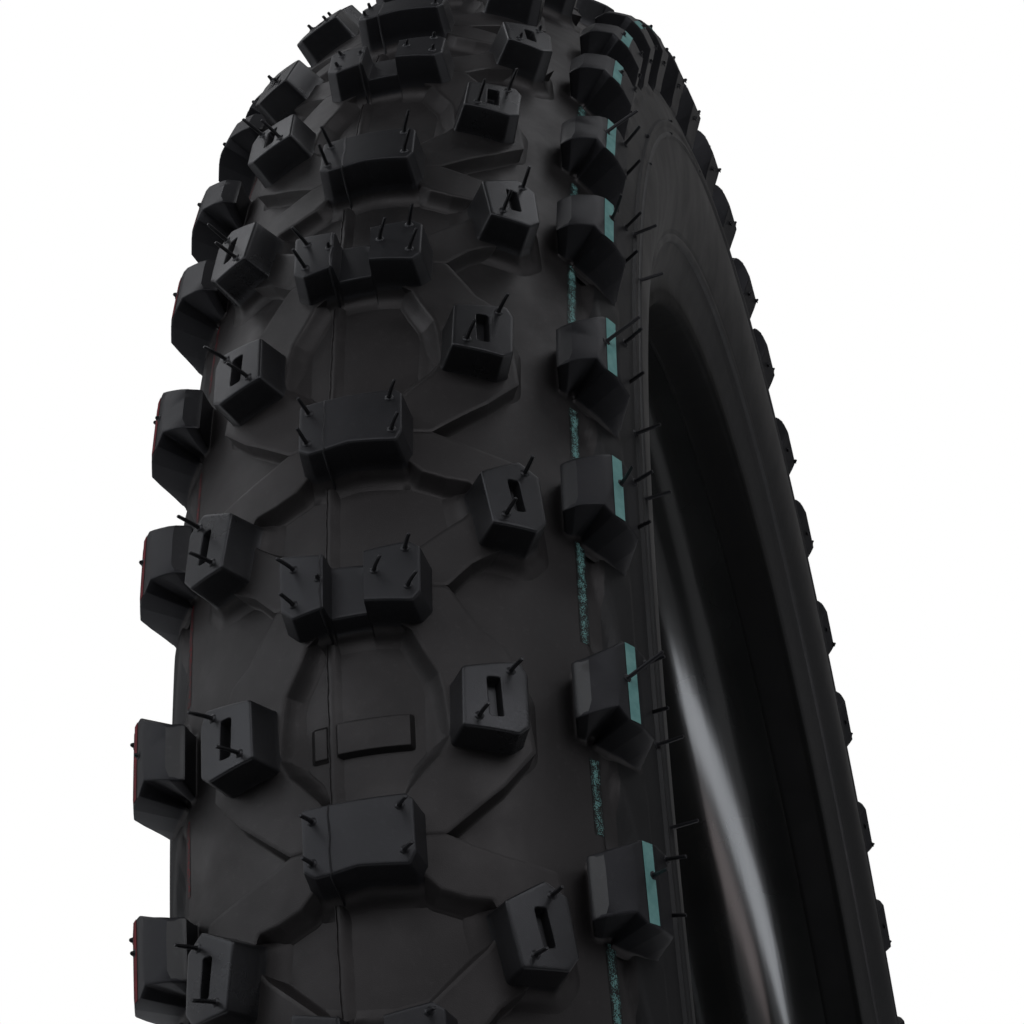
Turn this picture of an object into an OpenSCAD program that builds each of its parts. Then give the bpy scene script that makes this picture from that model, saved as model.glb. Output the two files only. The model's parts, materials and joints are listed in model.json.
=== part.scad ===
// Off-road motorcycle tire, 80/100-21 front size, as a lay-up of separate layers and tread blocks.
// Millimetres. The spin axis is +Y, +Z is up, and the origin is the tire's centre.

/* [Size] */
// Diameter of the rim's bead seat
rim_d = 533.4; // [533:0.1:534]
// Height of the section, from bead seat to tread blocks
section_h = 80; // [79.5:0.1:80.5]
// Width of the casing at its widest
casing_w = 80; // [79.5:0.1:80.5]
// Height of the tread blocks over the tread base
block_h = 8; // [7.5:0.1:8.5]

/* [Layers] */
// Rubber over the plies at the crown
crown_cover = 4.1; // [3.9:0.1:4.3]
// Rubber over the plies in the sidewalls
side_cover = 3.1; // [3:0.1:3.2]
// Thickness of each fabric ply, and of the liner
ply_t = 0.9; // [0.8:0.05:0.9]
// Thickness of the undertread rubber over the breaker
undertread_t = 1; // [0.8:0.1:1.2]

/* [Beads] */
// Side of the square bead bundle
wire_w = 3.6; // [3.4:0.1:3.6]
// Distance from the centre plane to the bead's outer face
bead_face_y = 31.4; // [31.2:0.1:31.6]
// Distance from the centre plane to the toe end of the bead seat
bead_toe_y = 21.8; // [21.5:0.1:22]

/* [Tread pattern] */
// Number of repeats of the block pattern around the tire
units = 28; // [26:1:28]
// Width of a solid centre block at its top
solid_w = 16.8; // [15:0.2:17]
// Length of a solid centre block at its top
solid_l = 10.8; // [10:0.2:11]
// Width of a grooved centre block at its top
grooved_w = 22.4; // [21:0.2:22.6]
// Length of a grooved centre block at its top
grooved_l = 11.6; // [10:0.2:12]
// Depth of the groove that splits it
groove_d = 3.5; // [2:0.5:5]
// Depth of the slots in the side blocks
slot_d = 2; // [1:0.5:5]
// Height of the tie bars between blocks
tie_h = 2.6; // [1:0.2:3]
// Height of the wear bars
wear_h = 1.2; // [1:0.2:2]
// Number of repeats of the pattern from one wear bar to the next
wear_every = 4; // [4:3:7]

/* [Hidden] */

rubber = [0.045, 0.045, 0.05];
inner_rubber = [0.09, 0.09, 0.1];
fabric = [0.55, 0.5, 0.42];
steel = [0.6, 0.55, 0.45];
teal = [0.3, 0.62, 0.6];
red = [0.62, 0.06, 0.08];

// The section is drawn around a centre on the casing's mid-height: distance rho from it, and angle a
// from the crown, 0, through the widest point, 90, towards the bead.
bead_r = rim_d / 2;
tire_r = bead_r + section_h;
base_rho = casing_w / 2;
top_rho = base_rho + block_h;
centre_r = tire_r - top_rho;
step = 6;           // degrees between the points of every layer, so that layers meet face to face
top_step = 3;       // degrees between the points of a block's curved top
crown_end = 60;     // the tread base ends and the sidewall starts here
casing_end = 114;   // below this the layers part around the bead
undertread_end = 48;
breaker_end = 42;
cover_from = 48;    // the cover thins from here
cover_to = 72;      // to here
film_t = 0.15;      // thickness of the painted stripes
pitch_deg = 360 / units;
mm_deg = 360 / (2 * PI * tire_r);   // degrees of turn for 1 mm along the tread
top_deg = 180 / (PI * top_rho);     // degrees of section for 1 mm across the tread

function at(rho, a) = [centre_r + rho * cos(a), rho * sin(a)];
function arc(rho, a0, a1, by) = [for (a = [a0:by:a1]) at(rho, a)];
function cover(a) =
    let (t = min(max((abs(a) - cover_from) / (cover_to - cover_from), 0), 1))
    crown_cover + t * (side_cover - crown_cover);
// The outside of the k-th layer inside the cover, raised by lift
function under(k, a, lift = 0) = at(base_rho - cover(a) - k * ply_t + lift, a);
function layer(k, a0, a1, by, lift = 0) = [for (a = [a0:by:a1]) under(k, a, lift)];
// A point on the straight facet of the tread base at angle a
function on_base(a) =
    let (mid = floor(a / step) * step + step / 2) at(base_rho * cos(step / 2) / cos(a - mid), a);
function flip(points) = [for (i = [len(points) - 1:-1:0]) [points[i][0], -points[i][1]]];
// The tread base's surface from angle a1 back to a0
function foot_line(a0, a1) = concat(
    [on_base(a1)],
    [for (a = [ceil(a1 / step - 1.01) * step:-step:floor(a0 / step + 1.01) * step]) at(base_rho, a)],
    [on_base(a0)]);
function top_line(a0, a1, rho = top_rho) =
    let (n = max(1, round((a1 - a0) / top_step))) [for (i = [0:n]) at(rho, a0 + (a1 - a0) * i / n)];
// Section of a block: top between angles t0 and t1, foot between f0 and f1
function block_section(t0, t1, f0, f1) = concat(top_line(t0, t1), foot_line(f0, f1));

// ---- Bead zone, right side, as [radius, lateral] points

wire_in = bead_face_y - 6.4;
wire_out = wire_in + wire_w;
wire_low = bead_r + 2.3;
wire_high = wire_low + wire_w;
hook_in = wire_in - ply_t;          // the inner ply wraps the bundle between these
hook_out = wire_out + ply_t;
hook_low = wire_low - ply_t;
turn_down_out = hook_out + ply_t;   // the outer ply ends beside the bundle here
turn_down_low = hook_low + 1.4;
knee = [wire_high + 1.8, wire_in + 1.7];            // inner ply against the filler's foot
filler_mid = base_rho - side_cover - ply_t + 0.9;   // outside of the filler at 120 degrees
filler_low = base_rho - side_cover - ply_t + 1.6;   // and at 126 degrees
filler_side = [at(filler_mid, 120), at(filler_low, 126), [wire_high, wire_out]];
turn_up = [at(filler_mid + ply_t, 120), at(filler_low + ply_t, 126), [wire_high - 0.3, hook_out]];
turn_down = [at(filler_mid + 2 * ply_t, 120), at(filler_low + 2 * ply_t, 126),
    [wire_high - 0.5, turn_down_out]];
liner_knee = [[knee[0] + 0.5, knee[1] - 0.75], [wire_high - 0.2, hook_in]];
liner_end = [[wire_high + 0.3, hook_in - 0.8], [knee[0] + 1, knee[1] - 1.5]];
inner_leg = [under(1, 120), under(1, 126), knee, [wire_high, wire_in]];

inner_ply_hook = concat(
    inner_leg, [[wire_low, wire_in], [wire_low, wire_out], [wire_high, wire_out]],
    [filler_side[1], filler_side[0]], turn_up,
    [[hook_low, hook_out], [hook_low, hook_in], liner_knee[1], liner_knee[0], under(2, 126), under(2, 120)]);
outer_ply_tail = concat(
    turn_down, [[turn_down_low, turn_down_out], [turn_down_low, hook_out]],
    [turn_up[2], turn_up[1], turn_up[0], filler_side[0]]);
liner_tail = [under(2, 120), under(2, 126), liner_knee[0], liner_knee[1], liner_end[0], liner_end[1],
    under(3, 126), under(3, 120)];
seat_heel_y = bead_face_y - 1.4;
flange_face_r = [bead_r + 1.7, bead_r + 5.7];       // the flat face that the rim's flange bears on

module ring(outline, sweep = 360) {
    rotate([-90, 0, 0]) rotate([0, 0, -sweep / 2])
        rotate_extrude(angle = sweep, $fn = 240) polygon(outline);
}

// ---- Inner construction

module casing_layer(k, tail) {
    ring(concat(layer(k, -casing_end, casing_end, step), tail,
        layer(k + 1, casing_end, -casing_end, -step), flip(tail)));
}

module inner_liner() color(inner_rubber) casing_layer(2, liner_tail);

module carcass_ply_inner() color(fabric) casing_layer(1, inner_ply_hook);

module carcass_ply_outer() color(fabric) casing_layer(0, outer_ply_tail);

module breaker_ply() color(fabric)
    ring(concat(layer(0, -breaker_end, breaker_end, step, ply_t), layer(0, breaker_end, -breaker_end, -step)));

module undertread() color(rubber)
    ring(concat(
        layer(0, -undertread_end, undertread_end, step, ply_t + undertread_t),
        layer(0, undertread_end, breaker_end, -step),
        layer(0, breaker_end, -breaker_end, -step, ply_t),
        layer(0, -breaker_end, -undertread_end, -step)));

module tread_base() color(rubber)
    ring(concat(
        arc(base_rho, -crown_end, crown_end, step),
        layer(0, crown_end, undertread_end, -step),
        layer(0, undertread_end, -undertread_end, -step, ply_t + undertread_t),
        layer(0, -undertread_end, -crown_end, -step)));

module bead_wire() color(steel)
    ring([[wire_low, wire_in], [wire_high, wire_in], [wire_high, wire_out], [wire_low, wire_out]]);

module bead_filler() color(inner_rubber)
    ring(concat([under(1, casing_end)], filler_side,
        [[wire_high, wire_in], knee, under(1, 126), under(1, 120)]));

module chafer() color(rubber)
    ring(concat(
        [under(0, casing_end)], turn_down,
        [[turn_down_low, turn_down_out], [turn_down_low, hook_out], [hook_low, hook_out], [hook_low, hook_in],
            liner_knee[1], liner_end[0], [bead_r + 3.3, bead_toe_y - 0.2], [bead_r + 0.9, bead_toe_y - 1],
            [bead_r, bead_toe_y], [bead_r, seat_heel_y], [flange_face_r[0], bead_face_y],
            [flange_face_r[1], bead_face_y], [bead_r + 8.3, bead_face_y + 1.6],
            at(base_rho, 120), at(base_rho, casing_end)]));

// A low rib runs around the sidewall just outboard of the shoulder blocks
module sidewall() color(rubber)
    ring(concat(
        arc(base_rho, crown_end, 78, step), [at(base_rho + 0.6, 79.5), at(base_rho + 0.6, 82.5)],
        arc(base_rho, 84, casing_end, step), layer(0, casing_end, crown_end, -step)));

module fitting_line() color(rubber)
    ring([on_base(115.2), at(base_rho + 1, 116.4), at(base_rho + 1, 117.6), on_base(118.8)]);

// ---- Tread blocks. Each is cut from a short arc of its own section by an upright prism.

// A prism over the section at angle a. Its outline is [across the tread, along the tread].
module prism(a, outline) {
    translate([centre_r, 0, 0]) rotate([0, 0, a]) translate([base_rho - 8, 0, 0])
        rotate([90, 0, 90]) linear_extrude(block_h + 12) polygon(outline);
}

// A wedge that narrows from foot_l to top_l along the tread
module draft(a, foot_l, top_l) {
    low = base_rho - 4;
    high = top_rho + 4;
    lean = (top_l - foot_l) / block_h / 2;
    translate([centre_r, 0, 0]) rotate([0, 0, a]) rotate([90, 0, 0]) linear_extrude(60, center = true)
        polygon([[low, -foot_l / 2 + 4 * lean], [low, foot_l / 2 - 4 * lean],
            [high, top_l / 2 + 4 * lean], [high, -top_l / 2 - 4 * lean]]);
}

// Copies around the tire, counted from the one along mm of tread above the +X axis
module around(along, every = 1, first = 0) {
    for (i = [first:every:units - 1]) rotate([0, -(along * mm_deg + i * pitch_deg), 0]) children();
}

module slot(a, along, turn = 0) {
    size = [slot_d + 2, 1.9, 6.6];
    translate([centre_r, 0, 0]) rotate([0, 0, a]) translate([top_rho - slot_d, 0, along])
        rotate([turn, 0, 0]) translate([size[0] / 2, 0, 0]) cube(size, center = true);
}

// Places along the tread, in mm from the grooved block
grooved_at = 0.8;
outer_side_at = 17.9;
shoulder_low_at = 27.9;
solid_at = 33.5;
inner_side_at = 55.6;
shoulder_high_at = 64.3;
wear_at = 53.9;
first_wear = 2;      // the first repeat with a wear bar, counted from the +X axis
block_sweep = 6;     // degrees of arc that each block is cut from

module centre_blocks_solid() color(rubber) around(solid_at) {
    half = solid_w / 2 * top_deg;
    w = solid_w / 2 + 1.5;
    l = solid_l / 2 + 1.2;
    intersection() {
        ring(block_section(-half, half, -half - 3.6, half + 3.6), block_sweep);
        draft(0, solid_l + 2.2, solid_l);
        prism(0, [[-w, -l + 2.8], [-w + 2.6, -l], [w - 2.6, -l], [w, -l + 2.8],
            [w, l - 2.8], [w - 2.6, l], [-w + 2.6, l], [-w, l - 2.8]]);
    }
}

module centre_blocks_grooved() color(rubber) around(grooved_at) {
    half = grooved_w / 2 * top_deg;
    groove = [-4.9, 2.3];
    waist = 0.8;
    w = grooved_w / 2 + 1.5;
    l = grooved_l / 2 + 0.6;
    section = concat(
        top_line(-half, groove[0]), top_line(groove[0] + 0.4, groove[1] - 0.4, top_rho - groove_d),
        top_line(groove[1], half), foot_line(-half - 3.4, half + 3.4));
    intersection() {
        ring(section, block_sweep);
        draft(0, grooved_l + 2, grooved_l);
        prism(0, [[-w, -l + 3], [-w + 3, -l], [0, -l + waist], [w - 3, -l], [w, -l + 3],
            [w, l - 3], [w - 3, l], [0, l - waist], [-w + 3, l], [-w, l - 3]]);
    }
}

module inner_side_blocks() color(rubber) around(inner_side_at) difference() {
    intersection() {
        ring(block_section(19.6, 31.8, 17.6, 34.4), block_sweep);
        draft(25.7, 14.6, 13);
        prism(25.7, [[-6.6, -5.6], [3.4, -7.2], [6.4, -4.6], [6.4, 4.4], [4.2, 7.4], [-6.6, 5.4]]);
    }
    slot(25.6, -0.1);
}

module outer_side_blocks() color(rubber) around(outer_side_at) difference() {
    intersection() {
        ring(block_section(20, 42, 20, 42), block_sweep);
        prism(31, [[-5.6, 3.8], [1, 7.3], [4.8, 4.9], [5.8, -4.9], [3.9, -7.4], [-3.9, -7.3]]);
    }
    slot(31.5, -0.4, 10);
}

shoulder_a = 51;        // angle of a shoulder block's middle
shoulder_l = 14.8;      // its length at the top
shoulder_foot_l = 19.5;
stripe_a = [52.5, 55.5];    // where the stripe lies on the blocks
base_stripe_a = [51, 54];   // and on the tread base between them
// The stripe's two lengths between blocks, as [middle along the tread, length]
base_stripes = [[48, 15], [87.2, 19.5]];
// Outlines over the two shoulder blocks, which are narrower inboard, as [across, along]
low_plan = [[-12, -7.4], [-0.6, -6.7], [1.4, -9.5], [14, -10.5], [14, 10.5], [1.4, 9.5], [-0.6, 5.8], [-12, 5.1]];
high_plan = [[-12, -8.3], [-0.6, -6.3], [1.4, -9.5], [14, -10.5], [14, 10.5], [1.4, 9.5], [-0.6, 6], [-12, 4]];
shoulder_section = concat(
    [on_base(41.5), at(top_rho - 4.1, 44.3), at(top_rho - 2, 45.6)],
    [for (a = [50.8, stripe_a[0], stripe_a[1], 57]) at(top_rho, a)],
    [at(top_rho - 1.8, 59.5)], foot_line(41.5, 68));

// Cuts one outline into both kinds of shoulder block
module over_shoulders(section) {
    around(shoulder_low_at) intersection() {
        ring(section, block_sweep);
        draft(shoulder_a, shoulder_foot_l, shoulder_l);
        prism(shoulder_a, low_plan);
    }
    around(shoulder_high_at) intersection() {
        ring(section, block_sweep);
        draft(shoulder_a, shoulder_foot_l, shoulder_l);
        prism(shoulder_a, high_plan);
    }
}

module shoulder_blocks() color(rubber) over_shoulders(shoulder_section);

module stripe() {
    over_shoulders([at(top_rho + film_t, stripe_a[0]), at(top_rho + film_t, stripe_a[1]),
        at(top_rho, stripe_a[1]), at(top_rho, stripe_a[0])]);
    low_film = [at(base_rho + film_t, base_stripe_a[0]), at(base_rho + film_t, base_stripe_a[1]),
        on_base(base_stripe_a[1]), on_base(base_stripe_a[0])];
    for (run = base_stripes) around(run[0]) ring(low_film, run[1] * mm_deg);
}

// ---- Low features between the blocks

// Outlines of the tie bars at the right of a solid and of a grooved block, as [across, along], from the
// crown line and from the middle of the block
solid_web = [[9.9, -6.7], [7.1, -6.7], [9.8, -8.4], [15.4, -10.2], [21.6, -5.6], [26.4, -8.2],
    [27, -4.3], [11.6, 1.4], [22.6, 14.4], [12, 14.6], [6.8, 8.3], [6.8, 6.7], [9.9, 6.7]];
grooved_web = [[11.9, -7.1], [7.6, -7.1], [11.6, -15], [22.4, -15], [18, -7.2], [13.4, 1.1], [19.5, 8.4],
    [17.2, 8.4], [15.6, 16], [8.2, 8.4], [8.2, 7.1], [11.9, 7.1]];
web_a = 24;         // angle of the frame in which the outlines are drawn
web_scale = 0.97;   // the tread base's girth there, over that of the block tops

module tie_bar(outline) {
    shift = base_rho * web_a * PI / 180;
    intersection() {
        ring(concat(arc(base_rho + tie_h, 6, 42, 2 * step), arc(base_rho, 42, 6, -step)), 8);
        prism(web_a, [for (p = outline) [p[0] - shift, p[1] * web_scale]]);
    }
}

module tie_bars() color(rubber) {
    around(solid_at) tie_bar(solid_web);
    around(grooved_at) tie_bar(grooved_web);
}

ridge_a = [-7.9, -6.1];
ridge_h = 0.6;

// The bar stops on both sides of the parting ridge
module wear_bars() color(rubber) around(wear_at, wear_every, first_wear)
    for (span = [[-11.6, ridge_a[0]], [ridge_a[1], 10.4]])
        ring(concat(
            arc(base_rho + wear_h, span[0], span[1], (span[1] - span[0]) / 4), foot_line(span[0], span[1])),
            6.3 * mm_deg);

module parting_ridge() color(rubber) {
    outline = [at(base_rho + ridge_h, ridge_a[0] + 0.5), at(base_rho + ridge_h, ridge_a[1] - 0.5),
        on_base(ridge_a[1]), on_base(ridge_a[0])];
    short_gap = [grooved_at + grooved_l / 2 + 1.2, solid_at - solid_l / 2 - 1.4];
    long_gap = [solid_at + solid_l / 2 + 1.4, pitch_deg / mm_deg + grooved_at - grooved_l / 2 - 1.2];
    for (gap = [short_gap, long_gap])
        around((gap[0] + gap[1]) / 2) ring(outline, (gap[1] - gap[0]) * mm_deg);
}

// ---- Right and left sides

module left() mirror([0, 1, 0]) children();

inner_liner();
carcass_ply_inner();
carcass_ply_outer();
breaker_ply();
undertread();
tread_base();
left() sidewall();  // sidewall_left
sidewall();  // sidewall_right
left() chafer();  // chafer_left
chafer();  // chafer_right
left() fitting_line();  // fitting_line_left
fitting_line();  // fitting_line_right
left() bead_wire();  // bead_wire_left
bead_wire();  // bead_wire_right
left() bead_filler();  // bead_filler_left
bead_filler();  // bead_filler_right
centre_blocks_solid();
centre_blocks_grooved();
left() inner_side_blocks();  // inner_side_blocks_left
inner_side_blocks();  // inner_side_blocks_right
left() outer_side_blocks();  // outer_side_blocks_left
outer_side_blocks();  // outer_side_blocks_right
left() shoulder_blocks();  // shoulder_blocks_left
shoulder_blocks();  // shoulder_blocks_right
left() tie_bars();  // tie_bars_left
tie_bars();  // tie_bars_right
wear_bars();
parting_ridge();
color(red) left() stripe();  // stripe_left
color(teal) stripe();  // stripe_right
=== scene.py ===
"""Off-road motorcycle tire: smooth rings, moulded tread blocks and painted stripes around the CAD frame."""
import json
import math

import bpy
import numpy as np
from mathutils import Matrix, Vector
from mathutils.geometry import delaunay_2d_cdt


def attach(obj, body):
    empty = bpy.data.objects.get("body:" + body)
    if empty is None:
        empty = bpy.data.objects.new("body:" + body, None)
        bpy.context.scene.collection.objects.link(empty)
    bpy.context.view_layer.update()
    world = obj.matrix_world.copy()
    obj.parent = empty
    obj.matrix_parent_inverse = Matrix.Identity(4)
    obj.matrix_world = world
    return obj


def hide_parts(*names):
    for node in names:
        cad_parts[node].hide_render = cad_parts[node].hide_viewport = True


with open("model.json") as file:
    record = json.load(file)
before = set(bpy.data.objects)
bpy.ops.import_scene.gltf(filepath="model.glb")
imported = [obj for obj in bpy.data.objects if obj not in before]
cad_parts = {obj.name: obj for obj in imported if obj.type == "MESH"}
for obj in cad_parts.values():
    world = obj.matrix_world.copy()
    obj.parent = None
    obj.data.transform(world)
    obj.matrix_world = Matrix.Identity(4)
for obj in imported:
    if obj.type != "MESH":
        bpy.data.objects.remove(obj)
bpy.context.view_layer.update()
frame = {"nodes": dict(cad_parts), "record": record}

# ---- Sizes, in millimetres. Lengths along the tread are measured at the block tops.

MM = 0.001
SEAT = frame["record"]["mounts"][0]
BEAD_R = SEAT["dims"]["r_mm"]
SECTION_H = 80
BASE_RHO = 40
BLOCK_H = 8
TOP_RHO = BASE_RHO + BLOCK_H
TIRE_R = BEAD_R + SECTION_H
CENTRE_R = TIRE_R - TOP_RHO
UNITS = 28
PITCH = 2 * math.pi * TIRE_R / UNITS
FLOOR_Z = -TIRE_R
FLOOR_GAP = 0.02            # how far the lowest points stay above the floor
TURN_STEPS = 448            # facets of the smooth rings
FINE_STEPS = 32 * UNITS     # and of those with details in step with the tread

# ---- Camera, in millimetres and degrees

CAMERA_AT = (795.5, 99.3, 214.6)
CAMERA_TO = (82.6, 0, 224.9)
CAMERA_ROLL = -9.31
LENS = 123.8


def add_camera():
    at, to = Vector(CAMERA_AT) * MM, Vector(CAMERA_TO) * MM
    turn = (to - at).to_track_quat("-Z", "Y").to_matrix().to_4x4()
    roll = Matrix.Rotation(math.radians(CAMERA_ROLL), 4, "Z")
    data = bpy.data.cameras.new("camera")
    data.lens = LENS
    data.sensor_width = 36
    data.clip_start = 0.01
    camera = bpy.data.objects.new("camera", data)
    camera.matrix_world = Matrix.Translation(at) @ turn @ roll
    bpy.context.scene.collection.objects.link(camera)
    bpy.context.scene.camera = camera


add_camera()


# ---- Materials


COLOR_A, COLOR_B, COLOR_OUT = 6, 7, 2       # a mix node's sockets for colors


class Nodes:
    """Short calls for building a material's node tree. A name that is in use goes on with that material."""

    def __init__(self, name):
        self.material = bpy.data.materials.get(name) or bpy.data.materials.new(name)
        self.material.use_nodes = True
        self.tree = self.material.node_tree
        self.shader = self.tree.nodes["Principled BSDF"]
        self.place = self.add("ShaderNodeTexCoord").outputs["Object"]

    def feed(self, socket, value):
        """Links the socket to another node's value, or sets it to a constant."""
        if isinstance(value, bpy.types.NodeSocket):
            self.tree.links.new(value, socket)
        else:
            socket.default_value = (*value, 1) if isinstance(value, tuple) else value

    def add(self, kind, inputs=(), **settings):
        """A node with these settings, and with these inputs fed."""
        node = self.tree.nodes.new(kind)
        for key, value in settings.items():
            setattr(node, key, value)
        for key, value in dict(inputs).items():
            self.feed(node.inputs[key], value)
        return node

    def noise(self, scale, detail=3, roughness=0.55, vector=None):
        inputs = {"Scale": scale, "Detail": detail, "Roughness": roughness, "Vector": vector or self.place}
        return self.add("ShaderNodeTexNoise", inputs).outputs["Fac"]

    def ramp(self, value, stops):
        """A color between the colors of two stops, each (value, color)."""
        node = self.add("ShaderNodeValToRGB", {"Fac": value})
        for element, (at, color) in zip(node.color_ramp.elements, stops):
            element.position = at
            element.color = (*color, 1)
        return node.outputs["Color"]

    def spread(self, value, low, high, from_low=0.3, from_high=0.7):
        """The value, with its range between from_low and from_high brought to low and high."""
        inputs = {"Value": value, "From Min": from_low, "From Max": from_high, "To Min": low, "To Max": high}
        return self.add("ShaderNodeMapRange", inputs).outputs["Result"]

    def mix(self, share, a, b):
        node = self.add("ShaderNodeMix", {"Factor": share, COLOR_A: a, COLOR_B: b}, data_type="RGBA")
        return node.outputs[COLOR_OUT]

    def math(self, operation, a, b):
        return self.add("ShaderNodeMath", {0: a, 1: b}, operation=operation).outputs["Value"]

    def bump(self, height, distance, strength=1.0, under=None):
        inputs = {"Strength": strength, "Distance": distance, "Height": height}
        if under:
            inputs["Normal"] = under
        return self.add("ShaderNodeBump", inputs).outputs["Normal"]

    def around(self):
        """The turn about the spin axis in radians, the distance from it, and the place along it."""
        x, y, z = self.add("ShaderNodeSeparateXYZ", {"Vector": self.place}).outputs
        turn = self.math("ARCTAN2", z, x)
        square = self.math("ADD", self.math("MULTIPLY", x, x), self.math("MULTIPLY", z, z))
        return turn, self.math("POWER", square, 0.5), y

    def unrolled(self, stretch):
        """Coordinates around the tire, across it and outwards, the first one stretched."""
        turn, radius, y = self.around()
        along = self.math("MULTIPLY", turn, TIRE_R * MM / stretch)
        return self.add("ShaderNodeCombineXYZ", {"X": along, "Y": y, "Z": radius}).outputs[0]

    def finish(self, color, roughness, normal=None, **constants):
        """Feeds the shader. The names of its other inputs are given with _ for a space."""
        inputs = {"Base Color": color, "Roughness": roughness, **constants}
        if normal:
            inputs["Normal"] = normal
        for key, value in inputs.items():
            self.feed(self.shader.inputs[key.replace("_", " ")], value)
        return self.material


def scaled(color, by):
    return tuple(channel * factor for channel, factor in zip(color, by))


def rubber(name, dark, light, rough, grain, sheen=(1, 1, 1), fineness=6000, brown=0.3, uneven=0.6):
    """Moulded black rubber: a slow change of tint, a satin skin, a fine grain and an uneven surface.

    rough is the range of its roughness. grain and uneven are the heights of its relief in millimetres, brown
    is the most of a warmer tint that is mixed in, and sheen tints the highlights.
    """
    n = Nodes(name)
    slow = n.noise(16, 4, 0.6)
    tint = n.mix(n.spread(slow, 0, 1, 0.38, 0.66), dark, light)
    warm = n.noise(23, 3, 0.5)
    color = n.mix(n.spread(warm, 0, brown, 0.45, 0.7), tint, scaled(light, (1.4, 1.2, 1.15)))
    dust = n.noise(900, 2, 0.6)
    color = n.mix(n.spread(dust, 0, 0.5, 0.58, 0.8), color, scaled(light, (1.8, 1.8, 1.8)))
    roughness = n.spread(n.noise(60, 5, 0.65), rough[0], rough[1])
    fine = n.noise(fineness, 1, 0.5)
    normal = n.bump(fine, grain * MM, 0.45, n.bump(n.noise(45, 1, 0.5), uneven * MM, 0.3))
    return n.finish(color, roughness, normal, Specular_IOR_Level=0.5, Specular_Tint=sheen)


def seat_painted_shade(material):
    """Paints shade on a bead's skin towards its seat, which is smooth and faces away from the lights: a
    darker colour and a weaker highlight there.
    """
    n = Nodes(material.name)
    share = n.spread(n.around()[1], 0.1, 1, (BEAD_R + 3) * MM, (BEAD_R + 7) * MM)
    skin = n.shader.inputs["Base Color"]
    n.feed(skin, n.mix(share, (0.001, 0.001, 0.001), skin.links[0].from_socket))
    n.feed(n.shader.inputs["Specular IOR Level"], n.math("MULTIPLY", share, 0.5))
    return material


def liner_rubber():
    """The glossy inside, moulded by the curing bladder: faint lines around the tire and a soft waviness."""
    n = Nodes("liner_gloss")
    lines = n.unrolled(30)
    ribs = n.noise(900, 2, 0.4, lines)
    waves = n.noise(60, 3, 0.5, n.unrolled(6))
    color = n.ramp(n.noise(25, 3), [(0.3, (0.014, 0.0145, 0.0142)), (0.7, (0.024, 0.0245, 0.024))])
    roughness = n.spread(n.noise(40, 3, 0.6, lines), 0.11, 0.15)
    normal = n.bump(ribs, 0.05 * MM, 0.2, n.bump(waves, 0.8 * MM, 0.2))
    return n.finish(color, roughness, normal, Specular_IOR_Level=0.6)


def ply_cord():
    """Parallel cords under a thin skin of rubber."""
    n = Nodes("ply_cord")
    inputs = {"Scale": 320, "Distortion": 0.4, "Vector": n.place}
    bands = n.add("ShaderNodeTexWave", inputs, bands_direction="DIAGONAL").outputs["Fac"]
    color = n.ramp(bands, [(0.2, (0.12, 0.09, 0.06)), (0.8, (0.42, 0.35, 0.25))])
    return n.finish(color, n.spread(bands, 0.6, 0.85, 0, 1), n.bump(bands, 0.3 * MM))


def bead_steel():
    """Bronze-coated wires side by side."""
    n = Nodes("bead_steel")
    strands = n.noise(1400, 1, 0.3, n.unrolled(200))
    color = n.ramp(strands, [(0.35, (0.35, 0.26, 0.16)), (0.65, (0.66, 0.54, 0.36))])
    return n.finish(color, n.spread(strands, 0.28, 0.45), n.bump(strands, 0.2 * MM), Metallic=0.95)


def paint(name, color, deep, under, solid, middle=0.0, half=1.0):
    """Sprayed marking paint over the rubber's tint under, in drops that join up where solid is high.

    The drops thin out on both sides of the section angle middle, over half, both in radians.
    """
    n = Nodes(name)
    drops = n.add("ShaderNodeTexVoronoi", {"Scale": 5600, "Vector": n.place})
    patches = n.spread(n.noise(700, 3, 0.7), -0.28, 0.28)
    level = n.math("SUBTRACT", n.math("ADD", patches, solid), drops.outputs["Distance"])
    _, radius, y = n.around()
    angle = n.math("ARCTAN2", n.math("ABSOLUTE", y, 0), n.math("SUBTRACT", radius, CENTRE_R * MM))
    off = n.math("DIVIDE", n.math("ABSOLUTE", n.math("SUBTRACT", angle, middle), 0), half)
    level = n.math("SUBTRACT", level, n.math("MULTIPLY", n.math("POWER", off, 2), 0.45))
    cover = n.spread(level, 0, 1, 0, 0.06)
    shade = n.mix(n.spread(n.noise(400, 3), 0, 1), color, deep)
    relief = n.bump(n.noise(1900, 2), 0.08 * MM, 0.6)
    roughness = n.spread(cover, 0.5, 0.72, 0, 1)
    return n.finish(n.mix(cover, under, shade), roughness, relief, Specular_IOR_Level=0.35)


WARM, COOL = (1, 0.955, 0.965), (0.94, 0.945, 1)
BASE_DARK, BASE_LIGHT = (0.009, 0.0085, 0.0087), (0.0205, 0.0191, 0.0196)
TREAD = rubber("tread_rubber", BASE_DARK, BASE_LIGHT, (0.38, 0.6), 0.05, WARM, uneven=2)
BLOCK = rubber(
    "block_rubber", (0.0105, 0.0106, 0.012), (0.015, 0.015, 0.017), (0.38, 0.5), 0.05, COOL, brown=0.1)
SIDE_BLOCK = rubber(
    "side_block_rubber", (0.0115, 0.0115, 0.0125), (0.017, 0.017, 0.0185), (0.25, 0.36), 0.06,
    COOL, fineness=8000, brown=0.05)
# the shoulder blocks' faces: the block rubber darker and with dimmed highlights, a painted shade
SHOULDER = rubber(
    "shoulder_shaded_rubber", (0.0095, 0.0095, 0.0105), (0.0135, 0.0135, 0.015), (0.42, 0.52), 0.05,
    (0.64, 0.64, 0.7), brown=0.05)
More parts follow.
